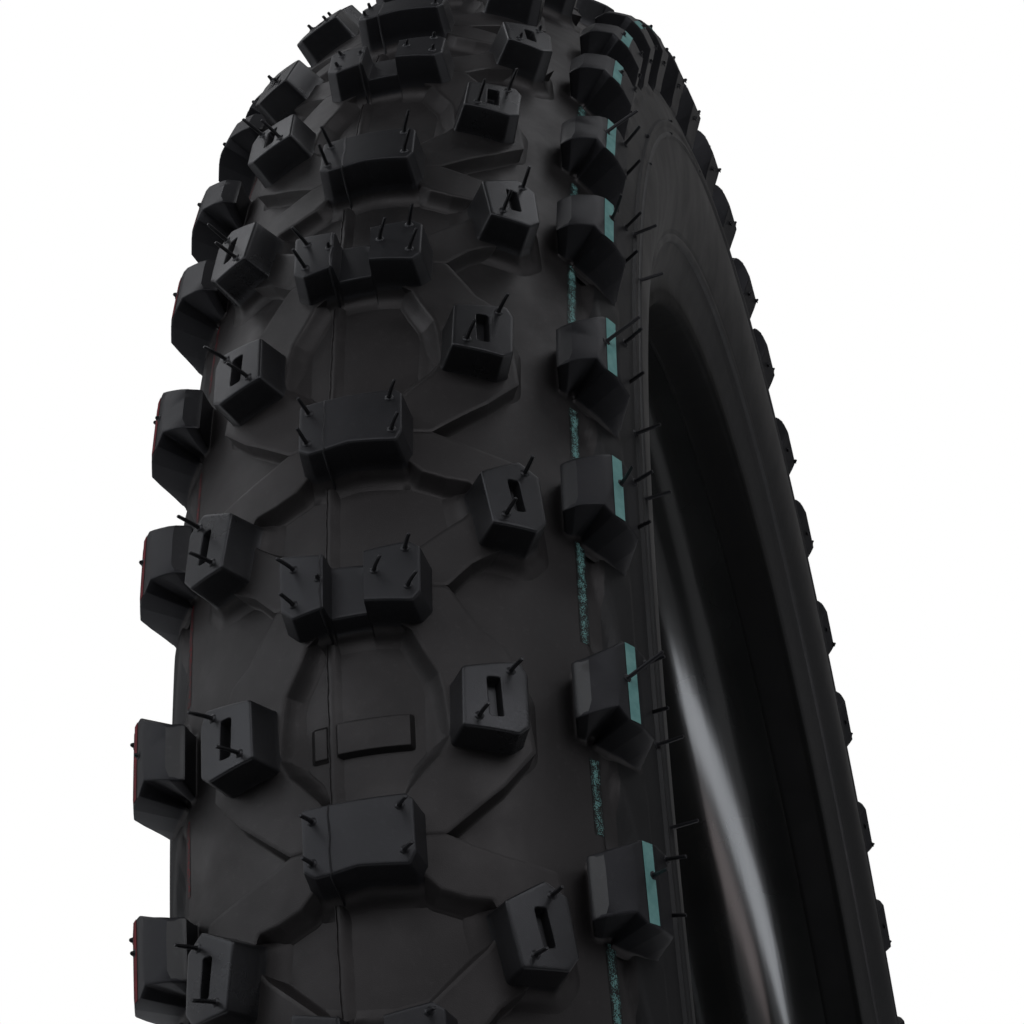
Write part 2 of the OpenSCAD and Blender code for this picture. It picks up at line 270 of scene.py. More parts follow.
# the bevel strip of the shoulder blocks: the same rubber in a lighter colour with full highlights, a painted
# highlight
BEVEL_HIGHLIGHT = rubber(
    "bevel_painted_highlight", (0.02, 0.02, 0.022), (0.026, 0.026, 0.029), (0.28, 0.34), 0.04,
    fineness=8000, brown=0.05)
SIDEWALL = rubber(
    "sidewall_rubber", (0.008, 0.008, 0.0084), (0.012, 0.0118, 0.0124), (0.44, 0.56), 0.04,
    (0.75, 0.75, 0.77))
# the chafer's skin gets painted shade towards the bead's seat
CHAFER = seat_painted_shade(
    rubber("chafer_rubber", (0.009, 0.009, 0.0094), (0.013, 0.0128, 0.0134), (0.5, 0.62), 0.05))
FILLER = rubber("filler_rubber", (0.02, 0.02, 0.021), (0.028, 0.028, 0.03), (0.5, 0.65), 0.1)
LINER = liner_rubber()
PLY = ply_cord()
STEEL = bead_steel()
TEAL, TEAL_DEEP = (0.23, 0.47, 0.45), (0.14, 0.34, 0.33)
RED, RED_DEEP = (0.24, 0.016, 0.024), (0.13, 0.01, 0.015)
SPECKS_AT = (math.radians(52.65), math.radians(1.5))     # the broken stripe's middle and half width
PAINTS = {
    "right": (paint("teal_solid", TEAL, TEAL_DEEP, BASE_DARK, 3),
              paint("teal_specks", TEAL, TEAL_DEEP, BASE_DARK, 0.54, *SPECKS_AT)),
    "left": (paint("red_solid", RED, RED_DEEP, BASE_DARK, 3),
             paint("red_specks", RED, RED_DEEP, BASE_DARK, 0.5, *SPECKS_AT))}


# ---- Mesh building


class Mesh:
    """Points in metres and faces, with a material number for each face."""

    def __init__(self):
        self.points, self.faces, self.paints = [], [], []

    def add(self, points, faces, paint=0):
        start = sum(len(p) for p in self.points)
        self.points.append(np.asarray(points, float))
        self.faces += [tuple(start + i for i in f) for f in faces]
        self.paints += [paint] * len(faces)

    def join(self, other):
        self.add(np.concatenate(other.points), other.faces)
        self.paints[-len(other.faces):] = other.paints
        return self

    def mirrored(self):
        """The same mesh on the other side of the centre plane."""
        out = Mesh()
        out.points = [p * (1, -1, 1) for p in self.points]
        out.faces = [f[::-1] for f in self.faces]
        out.paints = list(self.paints)
        return out

    def around(self, units=range(UNITS)):
        """Copies of this mesh in each of these repeats of the pattern."""
        out = Mesh()
        points = np.concatenate(self.points)
        for unit in units:
            a = 2 * math.pi * unit / UNITS
            x = points[:, 0] * math.cos(a) - points[:, 2] * math.sin(a)
            z = points[:, 0] * math.sin(a) + points[:, 2] * math.cos(a)
            start = len(points) * len(out.points)
            out.points.append(np.stack([x, points[:, 1], z], 1))
            out.faces += [tuple(start + i for i in f) for f in self.faces]
            out.paints += self.paints
        return out

    def piece(self, name, materials, nodes, slot, sharp=38):
        """Makes the object, smooth but for edges over sharp degrees, in place of these CAD nodes."""
        points = np.concatenate(self.points)
        points[:, 2] = np.maximum(points[:, 2], (FLOOR_Z + FLOOR_GAP) * MM)
        mesh = bpy.data.meshes.new(name)
        mesh.from_pydata(points.tolist(), [], self.faces)
        mesh.polygons.foreach_set("material_index", self.paints)
        for material in materials:
            mesh.materials.append(material)
        mesh.validate()
        mesh.shade_smooth()
        mesh.set_sharp_from_angle(angle=math.radians(sharp))
        piece = bpy.data.objects.new(name, mesh)
        bpy.context.scene.collection.objects.link(piece)
        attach(piece, "root")
        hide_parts(*nodes)


def spot(a, rho, v):
    """Points at section angle a in radians, rho from the section's centre, and v along the tread."""
    a, rho, v = np.broadcast_arrays(np.asarray(a, float), rho, v)
    r = CENTRE_R + rho * np.cos(a)
    turn = v / TIRE_R
    return MM * np.stack([r * np.cos(turn), rho * np.sin(a), r * np.sin(turn)], -1)


def grid_faces(rows, columns, closed=False):
    """Quads over rows x columns points, kept row by row. closed joins the last column to the first."""
    faces = []
    for i in range(rows - 1):
        for j in range(columns if closed else columns - 1):
            here, beside = i * columns + j, i * columns + (j + 1) % columns
            faces.append((here, beside, beside + columns, here + columns))
    return faces


# ---- Outlines in the tread's plane: s across it, v along it


STRAIGHT = 0.2              # the sine of a turn that is too slight for a mitre
MITRE_LIMIT = 2.2           # how far a corner may move, as a multiple of what its sides move
TINY = 1e-6


def grown(points, by):
    """The closed outline, anticlockwise, with its sides moved out by one value, or each by its own."""
    p = np.asarray(points, float)
    side = np.roll(p, -1, 0) - p
    side /= np.linalg.norm(side, axis=1)[:, None]
    normal = np.stack([side[:, 1], -side[:, 0]], 1)
    before = np.roll(normal, 1, 0)
    by = np.broadcast_to(np.asarray(by, float), len(p))
    by_before = np.roll(by, 1)
    cross = before[:, 0] * normal[:, 1] - before[:, 1] * normal[:, 0]
    divisor = np.where(abs(cross) < TINY, 1, cross)
    x = (by_before * normal[:, 1] - by * before[:, 1]) / divisor
    y = (by * before[:, 0] - by_before * normal[:, 0]) / divisor
    middle = (before + normal) / 2 * ((by + by_before) / 2)[:, None]
    step = np.where((abs(cross) < STRAIGHT)[:, None], middle, np.stack([x, y], 1))
    reach = np.linalg.norm(step, axis=1) / np.maximum(np.maximum(abs(by), abs(by_before)), TINY)
    return p + step / np.maximum(reach / MITRE_LIMIT, 1)[:, None]


def side_cuts(points, spacing):
    """How many sections each side of the outline has, for points about this far apart."""
    p = np.asarray(points, float)
    lengths = np.linalg.norm(np.roll(p, -1, 0) - p, axis=1)
    return [max(1, round(x / spacing)) for x in lengths]


MOST_OF_SIDE = 0.42         # the share of a side that one round corner may take


def rounded(points, by, radius, cuts, turns=3):
    """The outline grown by this much, with round corners of some turns and cuts sections along each side."""
    p = grown(points, by)
    n = len(p)
    out, corners = [], []
    for i in range(n):
        back, ahead = p[i - 1] - p[i], p[(i + 1) % n] - p[i]
        long_back, long_ahead = np.linalg.norm(back), np.linalg.norm(ahead)
        back, ahead = back / long_back, ahead / long_ahead
        half = math.acos(max(-1, min(1, float(back @ ahead)))) / 2
        run = min(radius / max(math.tan(half), 0.05), MOST_OF_SIDE * long_back, MOST_OF_SIDE * long_ahead)
        start, end = p[i] + back * run, p[i] + ahead * run
        u = np.linspace(0, 1, turns + 1)[:, None]
        corners.append((1 - u) ** 2 * start + 2 * u * (1 - u) * p[i] + u ** 2 * end)
    for i in range(n):
        a, b = corners[i][-1], corners[(i + 1) % n][0]
        out += list(corners[i])
        out += [a + (b - a) * k / cuts[i] for k in range(1, cuts[i])]
    return np.array(out)


def inside(outline, points, margin=0.0):
    """Which of these points lie inside the outline, at least margin from it."""
    p, q = outline, np.roll(outline, -1, 0)
    x, y = points[:, 0, None], points[:, 1, None]
    crosses = ((p[:, 1] > y) != (q[:, 1] > y)) & (
        x < (q[:, 0] - p[:, 0]) * (y - p[:, 1]) / (q[:, 1] - p[:, 1] + 1e-12) + p[:, 0])
    within = crosses.sum(1) % 2 == 1
    if margin:
        d = q - p
        t = np.clip(((x - p[:, 0]) * d[:, 0] + (y - p[:, 1]) * d[:, 1]) / ((d ** 2).sum(1) + 1e-12), 0, 1)
        gap = np.hypot(x - p[:, 0] - t * d[:, 0], y - p[:, 1] - t * d[:, 1]).min(1)
        within &= gap > margin
    return within


def lattice(outline, spacing, columns=None):
    """Points over the outline's box, this far apart, or in these columns."""
    low, high = outline.min(0), outline.max(0)
    across = np.arange(low[0] + spacing / 2, high[0], spacing) if columns is None else columns
    along = np.arange(low[1] + spacing / 2, high[1], spacing)
    return np.array([(s, v) for s in across for v in along], float).reshape(-1, 2)


def cap(loops, fill):
    """Triangles over the fill points that fill the first loop, less the other loops.

    Their indexes run through the loops, then the fill points.
    """
    points = np.concatenate([*loops, fill]) if len(fill) else np.concatenate(loops)
    edges, start = [], 0
    for loop in loops:
        edges += [(start + i, start + (i + 1) % len(loop)) for i in range(len(loop))]
        start += len(loop)
    found = delaunay_2d_cdt([Vector(p) for p in points.tolist()], edges, [], 0, TINY)
    first = [ids[0] for ids in found[3]]
    faces = [tuple(first[i] for i in f) for f in found[2]]
    middle = np.array([points[list(f)].mean(0) for f in faces])
    keep = inside(loops[0], middle)
    for loop in loops[1:]:
        keep &= ~inside(loop, middle)
    out = []
    for f, kept in zip(faces, keep):
        if kept:
            a, b, c = (points[i] for i in f[:3])
            turn = (b[0] - a[0]) * (c[1] - a[1]) - (b[1] - a[1]) * (c[0] - a[0])
            out.append(f if turn > 0 else f[::-1])
    return out


# ---- Blocks


# the bevel's material number carries the rubber with a painted highlight
FOOT, BEVEL = 1, 2          # the material numbers of a block's foot and bevel, 0 being the rest
SKIRT = (0.3, -0.35)        # how far a block's lowest ring lies outside its foot, and how high over the base
FOOT_ARC = (0, 22, 45, 67, 90)              # degrees of the foot's fillet
WALL = (0.1, 0.5, 0.93)                     # shares of the wall's height
EDGE_ARC = (0, 30, 60, 90)                  # degrees of the upper edge
RIM = 0.3                   # the flat rim inside the upper edge
BEVEL_SETBACK = 1.2         # how far before its end the bevel's own edges stop


class Block:
    """A raised block. outline is its top edge as (s, v) on the section circle of radius on.

    height(s) is its height, and draft is how far its walls lean out towards the foot. fillet, edge and
    corner are the radii of its foot, its upper edge and its upright edges. Points lie about spacing apart,
    and across the top in columns, if given. With lean(s), the walls stand along the section's radius, but
    their foot lies lean radians further out. hairs is the share of their full length that its moulding
    hairs have. The top below s = bevel_to is a bevel.
    """

    def __init__(self, outline, height, hairs=1.0, on=TOP_RHO, draft=0.4, fillet=3.1, edge=0.35, corner=0.6,
                 spacing=1.6, columns=None, slots=(), centre=None, lean=None, bevel_to=None):
        self.mesh = Mesh()
        self.on = on
        self.hairs = hairs
        self.radial = lean is not None
        self.height = height if callable(height) else (lambda s: np.full(np.shape(s), float(height)))
        outline = np.asarray(outline, float)
        self.centre = outline[:, 0].mean() if centre is None else centre
        cuts = side_cuts(outline, spacing)
        top = rounded(outline, 0, corner, cuts)
        tall = self.height(top[:, 0])
        share = np.clip(tall / BLOCK_H, 0, 1)

        def ring(by, z):
            loop = rounded(outline, by, corner + max(by, 0), cuts)
            if lean:
                down = np.clip(1 - z / np.maximum(tall - edge, 0.05), 0, 1.1)
                loop[:, 0] += on * lean(top[:, 0]) * down
            return np.column_stack([loop, np.broadcast_to(z, len(loop))])

        def top_ring(by, down):
            loop = ring(by, tall)
            loop[:, 2] = (self.height(loop[:, 0]) - down).clip(0)
            return loop

        rings = [ring(draft + fillet + SKIRT[0], SKIRT[1])]
        for a in np.radians(FOOT_ARC):
            rings.append(ring(draft + fillet * (1 - math.sin(a)), fillet * (1 - math.cos(a)) * share))
        low = fillet * share
        for u in WALL:
            rings.append(ring(draft * (1 - u), (low + u * (tall - low - edge)).clip(0)))
        for a in np.radians(EDGE_ARC):
            rings.append(top_ring(edge * (math.cos(a) - 1), edge * (1 - math.sin(a))))
        rings.append(top_ring(-edge - RIM, 0))
        self.add_walls(rings, top[:, 0], bevel_to)
        self.add_top(rings[-1], slots, spacing, columns, bevel_to)

    def add_walls(self, rings, s, bevel_to):
        """The strips between the rings. s is where each point of a ring comes up at the upper edge."""
        count = len(s)
        self.mesh.add(np.concatenate([self.place(r) for r in rings]), grid_faces(len(rings), count, True))
        foot = (len(FOOT_ARC) - 1) * count
        self.mesh.paints[:foot] = [FOOT] * foot
        # the faces along the bevel take the material with a painted highlight
        if bevel_to is not None:
            for k in range((len(rings) - 1 - len(EDGE_ARC)) * count, len(self.mesh.faces)):
                if max(s[k % count], s[(k + 1) % count]) < bevel_to - BEVEL_SETBACK:
                    self.mesh.paints[k] = BEVEL

    def add_top(self, last, slots, spacing, columns, bevel_to):
        """The top inside the last ring, with its slots."""
        rim = last[:, :2]
        holes = [self.slot(*slot) for slot in slots]
        fill = lattice(rim, 2 * spacing if columns is None else spacing, columns)
        fill = fill[inside(rim, fill, 0.5)]
        for hole in holes:
            fill = fill[~inside(grown(hole, 0.5), fill)]
        loops = [rim, *holes]
        flat = np.concatenate([*loops, fill])
        faces = cap(loops, fill)
        z = self.height(flat[:, 0])
        z[:len(rim)] = last[:, 2]
        self.mesh.add(self.place(np.column_stack([flat, z])), faces)
        # the top's bevel takes the material with a painted highlight
        if bevel_to is not None:
            paints = [BEVEL if flat[list(f), 0].mean() < bevel_to else 0 for f in faces]
            self.mesh.paints[-len(faces):] = paints

    def place(self, points):
        s, v, z = points[:, 0], points[:, 1], points[:, 2]
        rho = BASE_RHO + z
        return spot(self.angle(s, rho), rho, v)

    def angle(self, s, rho):
        if self.radial:
            return s / self.on
        return self.centre / self.on + (s - self.centre) / rho

    def slot(self, outline, depth):
        """Sinks a slot with a soft rim into the top, and returns its rim."""
        cuts = side_cuts(outline, 1.2)
        rings = []
        for by, down in ((0.2, 0), (0.06, 0.08), (0, 0.3), (-0.1, depth - 0.3), (-0.3, depth)):
            loop = rounded(outline, by, 0.45 + by, cuts)
            rings.append(np.column_stack([loop, self.height(loop[:, 0]) - down]))
        count = len(rings[0])
        floor = tuple((len(rings) - 1) * count + i for i in range(count))
        faces = grid_faces(len(rings), count, True) + [floor]
        self.mesh.add(np.concatenate([self.place(r) for r in rings]), faces)
        return rings[0][:, :2]

    def hair(self, s, v, lean, length=5.2):
        """A moulding hair: a thin tapered spigot on a small ring, leaning across and along the tread."""
        rho = BASE_RHO + float(self.height(np.array([s]))[0])
        lean = (lean[0] * self.hairs, lean[1] * self.hairs)
        hair(self.mesh, self.angle(s, rho), rho, v, lean, max(length * self.hairs, NUB))


HAIR_R = 0.34
HAIR_SIDES = 7
HAIR_SUNK = 0.3             # how far a hair's foot lies below the surface
NUB = 1                     # the length of a hair that is worn away


def hair(mesh, a, rho, v, lean, length):
    """A hair on the point of spot(a, rho, v), its tip moved lean across and along the tread."""
    base = Vector(spot(a, rho - HAIR_SUNK, v)) / MM
    turn = v / TIRE_R
    out = Vector((math.cos(a) * math.cos(turn), math.sin(a), math.cos(a) * math.sin(turn)))
    across = Vector((-math.sin(a) * math.cos(turn), math.cos(a), -math.sin(a) * math.sin(turn)))
    along = Vector((-math.sin(turn), 0, math.cos(turn)))
    lean = across * lean[0] + along * lean[1]
    side = out.orthogonal().normalized()
    other = out.cross(side)
    # each ring is (height, radius): a low collar, the shaft, and a blunt tip
    collar = [(0.25, 0.85), (0.4, 0.72), (0.5, 0.45)]
    profile = collar + [(0.8, HAIR_R), (length * 0.35, HAIR_R), (length * 0.7, HAIR_R * 0.96),
                        (length - 0.15, HAIR_R * 0.9), (length, HAIR_R * 0.6)]
    points = []
    for height, radius in profile:
        bend = max(height - collar[-1][0], 0) / length
        middle = base + out * height + lean * bend ** 1.15
        for k in range(HAIR_SIDES):
            b = 2 * math.pi * k / HAIR_SIDES
            points.append((middle + (side * math.cos(b) + other * math.sin(b)) * radius) * MM)
    faces = grid_faces(len(profile), HAIR_SIDES, True)
    last = (len(profile) - 1) * HAIR_SIDES
    mesh.add([tuple(p) for p in points], faces + [tuple(last + k for k in range(HAIR_SIDES))])


SEAM_W = 0.42
SEAM_H = 0.2


def seam(block, s, v0, v1):
    """The fine flash line that the mould's joint leaves over a block at s, from v0 to v1."""
    top = float(block.height(np.array([s]))[0])
    # (distance outside the block's end, height) up one wall, and the same down the other
    climb = [(1.9, 0.1), (1.3, 1.2), (0.6, top * 0.55), (0.05, top - 0.35), (-0.3, top)]
    path = [(v0 - off, z) for off, z in climb]
    path += [(v0 + (v1 - v0) * k / 6, top) for k in range(1, 6)]
    path += [(v1 + off, z) for off, z in climb[::-1]]
    rows = []
    for i, (v, z) in enumerate(path):
        wander = 0.12 * math.sin(1.9 * i)
        a, b = path[max(i - 1, 0)], path[min(i + 1, len(path) - 1)]
        run = math.hypot(b[0] - a[0], b[1] - a[1])
        push = ((a[1] - b[1]) / run * SEAM_H, (b[0] - a[0]) / run * SEAM_H)
        rows += [(s - SEAM_W / 2 + wander, v, z - 0.05), (s + wander, v + push[0], z + push[1]),
                 (s + SEAM_W / 2 + wander, v, z - 0.05)]
    block.mesh.add(block.place(np.array(rows)), grid_faces(len(path), 3))


SEAM_S = -4.2               # where the seam runs over the centre blocks
SLOT_D = 2


def solid_block(hairs):
    outline = [(-8.5, 28.8), (-6.7, 27.4), (-4.4, 27.5), (-0.2, 28.2), (7.4, 27.6), (8.4, 29.7), (8.4, 38.1),
               (7.3, 39.1), (-4.5, 38.9), (-8.5, 38.9)]
    block = Block(outline, BLOCK_H, hairs)
    for s, v, lean in ((-6.8, 36.6, 0.2), (-7, 29.9, 0.5), (6.4, 37.1, 1.5), (6.8, 29.9, 1.6)):
        block.hair(s, v, (lean, -1.4))
    seam(block, SEAM_S, 27.5, 38.9)
    return block.mesh


GROOVE = (-3.9, 2.0)        # the groove's edges across the grooved block
GROOVE_D = 3.5
GROOVE_WALL = 0.45          # how wide its sloping walls are


def groove_height(s):
    left = np.clip((s - GROOVE[0]) / GROOVE_WALL + 0.5, 0, 1)
    right = np.clip((GROOVE[1] - s) / GROOVE_WALL + 0.5, 0, 1)
    depth = np.minimum(left, right)
    return BLOCK_H - GROOVE_D * depth * depth * (3 - 2 * depth)


def grooved_block(hairs):
    walls = [edge + d for edge in GROOVE for d in (-0.25, -0.12, 0, 0.12, 0.25)]
    lower = [(-11.2, -3), (-9.2, -5.2)] + [(s, -4.4) for s in walls] + [(9.5, -5.1), (10.9, -3.3)]
    upper = [(11, 5.2), (9.2, 6.5)] + [(s, 5.3 + 0.1 * (2 - s)) for s in walls[::-1]] + [(-11.6, 7.8)]
    columns = [-10.5, -8.5, -6.5, -5, *walls, -3, -1, 0.5, 3.5, 5, 7, 9, 10.3]
    block = Block(lower + upper, groove_height, hairs, columns=sorted(columns), corner=0.5)
    for s, v, lean in ((-9, 4.3, -0.6), (-9, -2.5, 0.1), (3.9, 1.1, 1.9), (8.7, 4.9, 0.9), (9, -2.3, 1.6)):
        block.hair(s, v, (lean, -1.3))
    block.hair(-4.9, 1.4, (0.3, -0.4), 1.6)
    seam(block, SEAM_S - 0.4, -4.5, 6)
    return block.mesh


def outer_side_block(hairs):
    outline = [(22.5, 10.9), (29.6, 10.7), (31.4, 13.1), (30.4, 22.6), (27, 25.05), (20.7, 21.5)]
    slot = [(26.1, 14.2), (27.8, 14.4), (26.8, 20.6), (25, 20.6)]
    block = Block(outline, BLOCK_H, hairs, slots=[(slot, SLOT_D)])
    block.hair(27.9, 22.7, (-0.6, -1))
    block.hair(24.6, 13.1, (0, -1))
    return block.mesh


def inner_side_block(hairs):
    outline = [(16.3, 50.1), (24.8, 49.2), (26.6, 50.7), (26.7, 60), (25.5, 62.4), (16.6, 60.7)]
    slot = [(20.5, 52.1), (22.5, 52.1), (22.3, 58.9), (20.3, 58.9)]
    block = Block(outline, BLOCK_H, hairs, slots=[(slot, SLOT_D)])
    block.hair(24, 60.3, (0.3, -1.1))
    block.hair(18.8, 51.9, (0.5, -1))
    return block.mesh


# Section angles of a shoulder block's folds, in degrees, and its height there
SHOULDER_FOLDS = (
    (44.2, 3.8), (46, 6.3), (50.7, 8.15), (52.4, 8.3), (56.2, 8.2), (57.4, 7.8), (61, 7), (62, 6),
    (65.5, 2.8), (68.5, 0.8), (70, 0.1))
# Section angles and how far out of them the block's foot lies
SHOULDER_LEAN = ((44.2, 4.8), (45.7, 4.6), (50.7, 2), (53, 0.8), (57, 0))


def at_angle(s, table):
    """The table's value at s on the block tops, where a row is (degrees of section, value)."""
    return np.interp(np.degrees(np.asarray(s, float) / TOP_RHO), *zip(*table))


def shoulder_height(s):
    return at_angle(s, SHOULDER_FOLDS)


def shoulder_lean(s):
    return np.radians(at_angle(s, SHOULDER_LEAN))


def shoulder_block(hairs, spots, inner, fold, outer):
    """One shoulder block, with a hair for each of spots, (degrees, v, lean, length).

    inner, fold and outer are its lower and upper end at its inner edge, at its inner fold and at its tip.
    """
    def s_at(degrees):
        return math.radians(degrees) * TOP_RHO

    lower = [(44.3, inner[0]), (45.7, inner[0]), (50.6, fold[0]), (52.5, outer[0] + 0.3), (57, outer[0]),
             (63, outer[0] + 0.2), (68.5, outer[0] + 0.7)]
    upper = [(68.5, outer[1] - 0.7), (63, outer[1] - 0.2), (57, outer[1]), (52.5, outer[1] - 0.3),
             (50.6, fold[1]), (45.7, inner[1]), (44.3, inner[1])]
    outline = [(s_at(a), v) for a, v in lower + upper]
    folds = [s_at(a) for a, _ in SHOULDER_FOLDS]
    block = Block(outline, shoulder_height, hairs, columns=folds, draft=0.6, fillet=0.9, corner=0.35,
                  lean=shoulder_lean, bevel_to=s_at(SHOULDER_FOLDS[1][0]))
    for a, v, lean, length in spots:
        block.hair(s_at(a), v, lean, length)
    return block.mesh


SIDEWALL_HAIRS = ((79, 66), (84, 51))       # (degrees of section, v)


def shoulder_blocks(hairs):
    """The two shoulder blocks of a repeat, and the hairs on the sidewall beside them."""
    low = shoulder_block(
        hairs, ((55.1, 29.4, (-3, -2), 5.6), (60.9, 34.2, (-1.4, -1.8), 5), (63.3, 25.7, (-1.4, -1.8), 4.6)),
        (21.5, 32.5), (22.2, 34), (20.5, 35.3))
    high = shoulder_block(
        hairs, ((53, 64.7, (2.1, 2.5), 6.5), (59.5, 70.6, (-1.4, -1.8), 5.2), (63, 63.3, (-1.4, -1.8), 5)),
        (57, 67.8), (58.6, 70.4), (56.4, 72.2))
    mesh = low.join(high)
    for a, v in SIDEWALL_HAIRS:
        hair(mesh, math.radians(a), BASE_RHO, v, (0, 0.4 * hairs), max(5 * hairs, NUB))
    return mesh


def all_round(build, worn, share):
    """The pattern all around, with its hairs worn to this share of their length in some of the repeats."""
    fresh = [unit for unit in range(UNITS) if unit not in worn]
    return build(1).around(fresh).join(build(share).around(worn))


WEB_H = 2.6
# Rims of the webs at the right of the crown, as (s on the base, v, reach). reach is how far the slope from
# that point to the next one runs out: wide towards the middle fields, least under the blocks
WIDE, SHORT, UNDER = 2.5, 0.9, 0.2
LONG_WEB = (
    (5, 34.8, UNDER), (11.2, 34.8, SHORT), (14.9, 38.3, SHORT), (19.8, 43.1, SHORT), (24.9, 49.9, UNDER),
    (23.4, 63.8, SHORT), (21.1, 69, SHORT), (17.8, 71.4, SHORT), (13, 79.7, UNDER), (5, 79.7, UNDER),
    (5, 73.5, UNDER), (7.8, 71, WIDE), (9.3, 67.2, WIDE), (11.3, 63, WIDE), (11.9, 59.7, WIDE),
    (12.6, 51.9, WIDE), (11, 48.5, WIDE), (8.6, 45.5, WIDE), (6.6, 42.8, UNDER), (5, 40, UNDER))
SHORT_WEB = (
    (5, 1.9, UNDER), (13, 1.9, SHORT), (16.7, 6.7, SHORT), (21.6, 10.8, SHORT), (27.1, 15.6, UNDER),
    (28.5, 22, UNDER), (26.8, 29.4, SHORT), (19, 31.4, SHORT), (14.6, 33, SHORT), (11.2, 34.8, UNDER),
    (5, 34.8, UNDER), (5, 29.6, UNDER), (7.1, 28.7, WIDE), (9.8, 25.7, WIDE), (13.4, 24.3, WIDE),
    (17, 23.9, UNDER), (18.4, 20, UNDER), (15.6, 16, WIDE), (8.2, 8.8, UNDER), (5, 6, UNDER))
WEB_CORNER = 0.9            # the radius of a web's upright edges at its top
WEB_SPREAD = 2.2            # and how much more it is at the base
WEB_SLOPE = 1.9             # the power that hollows the slopes
WEB_SUNK = 0.3


def web(points):
    """One low web between blocks, with a slope of its own on each side."""
    outline = np.array([p[:2] for p in points], float)
    reach = np.array([p[2] for p in points])
    cuts = side_cuts(outline, 1.6)

    def ring(by, radius, z):
        loop = rounded(outline, by, radius, cuts, 4)
        return np.column_stack([loop, np.full(len(loop), z)])

    def place(p):
        return spot(p[:, 0] / BASE_RHO, BASE_RHO + p[:, 2], p[:, 1])

    rings = [ring(reach * 1.12, WEB_CORNER + WEB_SPREAD, -WEB_SUNK)]
    for t in (0, 0.14, 0.3, 0.48, 0.66, 0.83, 0.94):
        rings.append(ring(reach * (1 - t), WEB_CORNER + WEB_SPREAD * (1 - t), WEB_H * t ** WEB_SLOPE))
    for by, down in ((0, 0.1), (-0.25, 0.02), (-0.6, 0)):
        rings.append(ring(by, WEB_CORNER, WEB_H - down))
    rim = rings[-1][:, :2]
    fill = lattice(rim, 2.4)
    fill = fill[inside(rim, fill, 0.6)]
    flat = np.concatenate([rim, fill])
    mesh = Mesh()
    mesh.add(np.concatenate([place(r) for r in rings]), grid_faces(len(rings), len(rim), True))
    mesh.add(place(np.column_stack([flat, np.full(len(flat), WEB_H)])), cap([rim], fill))
    return mesh


def tie_bars():
    """The low webs that join each centre block to the side blocks around it."""
    return web(LONG_WEB).join(web(SHORT_WEB))


# ---- Wear bars, parting ridge and stripes

RIDGE = (-7.9, -6.1)        # the ridge's sides, in degrees of section


def wear_bars():
    """The wear bar of one repeat, which the parting ridge splits into a small and a large part."""
    mesh = Mesh()
    for low, high, tall in ((-11.4, RIDGE[0] - 0.4, 0.55), (RIDGE[1] + 0.2, 10.2, 1.05)):
        s0, s1 = (math.radians(a) * BASE_RHO for a in (low, high))
        outline = [(s0, 51.1), (s1, 51.1), (s1, 56.7), (s0, 56.7)]
        bar = Block(outline, tall, on=BASE_RHO, draft=0.45, fillet=0.35, edge=0.2, corner=0.2, spacing=2,
                    centre=0)
        mesh.join(bar.mesh)
    return mesh


def parting_ridge():
    """A raised line that the mould's joint leaves on the base, with a thin upstanding edge on one side."""
    # (share of the way between the ridge's sides, height)
    profile = [(-0.15, -0.1), (0, 0.3), (0.05, 0.86), (0.12, 0.88), (0.2, 0.68), (0.5, 0.8), (0.8, 0.76),
               (1.1, 0.55), (1.4, 0.25), (1.8, -0.1)]
    mesh = Mesh()
    for v0, v1 in ((7.5, 26.4), (40.3, PITCH - 6)):
        steps = max(4, round((v1 - v0) / 1.1))
        rows = []
        for i in range(steps + 1):
            v = v0 + (v1 - v0) * i / steps
            drift = 0.07 * math.sin(0.9 * v) + 0.05 * math.sin(2.3 * v)
            for t, z in profile:
                a = math.radians(RIDGE[0] + (RIDGE[1] - RIDGE[0]) * t + drift)
                flash = 0.08 * math.sin(3.1 * v) if z > 0.84 else 0
                rows.append(spot(a, BASE_RHO + z + flash, v))
        faces = grid_faces(steps + 1, len(profile))
        mesh.add(np.array(rows), [f[::-1] for f in faces])
    return mesh


STRIPE = (53, 55.6)                         # the stripe on the shoulder blocks, in degrees of section
LOW_STRIPE = (51.2, 54.1)                   # and on the base between them
ON_BLOCKS = ((20.9, 34.9), (56.8, 71.8))    # where it runs on the blocks, along the tread
ON_BASE = ((39.5, 53.5), (76.5, 98.2))
FILM = 0.06
FILM_ROWS, FILM_COLUMNS = 14, 4
SOLID, BROKEN = 0, 1                        # the material numbers of a stripe's two paints


def film(mesh, across, along, height, paint_number):
    """Paint over these degrees of section and this span of the tread. height(degrees) is the surface's."""
    rows = []
    for i in range(FILM_ROWS + 1):
        u = i / FILM_ROWS
        v = along[0] * (1 - u) + along[1] * u
        for j in range(FILM_COLUMNS + 1):
            a = across[0] + (across[1] - across[0]) * j / FILM_COLUMNS
            rows.append(spot(math.radians(a), BASE_RHO + height(a) + FILM, v))
    faces = grid_faces(FILM_ROWS + 1, FILM_COLUMNS + 1)
    mesh.add(np.array(rows), [f[::-1] for f in faces], paint_number)


def stripes(narrow=0.0):
    """One side's stripe, solid on the blocks and broken between them, narrower by this many degrees."""
    mesh = Mesh()
    for span in ON_BLOCKS:
        film(mesh, (STRIPE[0] + narrow, STRIPE[1]), span,
             lambda a: float(shoulder_height(math.radians(a) * TOP_RHO)), SOLID)
    for span in ON_BASE:
        film(mesh, (LOW_STRIPE[0] + narrow, LOW_STRIPE[1]), span, lambda a: 0, BROKEN)
    return mesh


# ---- Rings


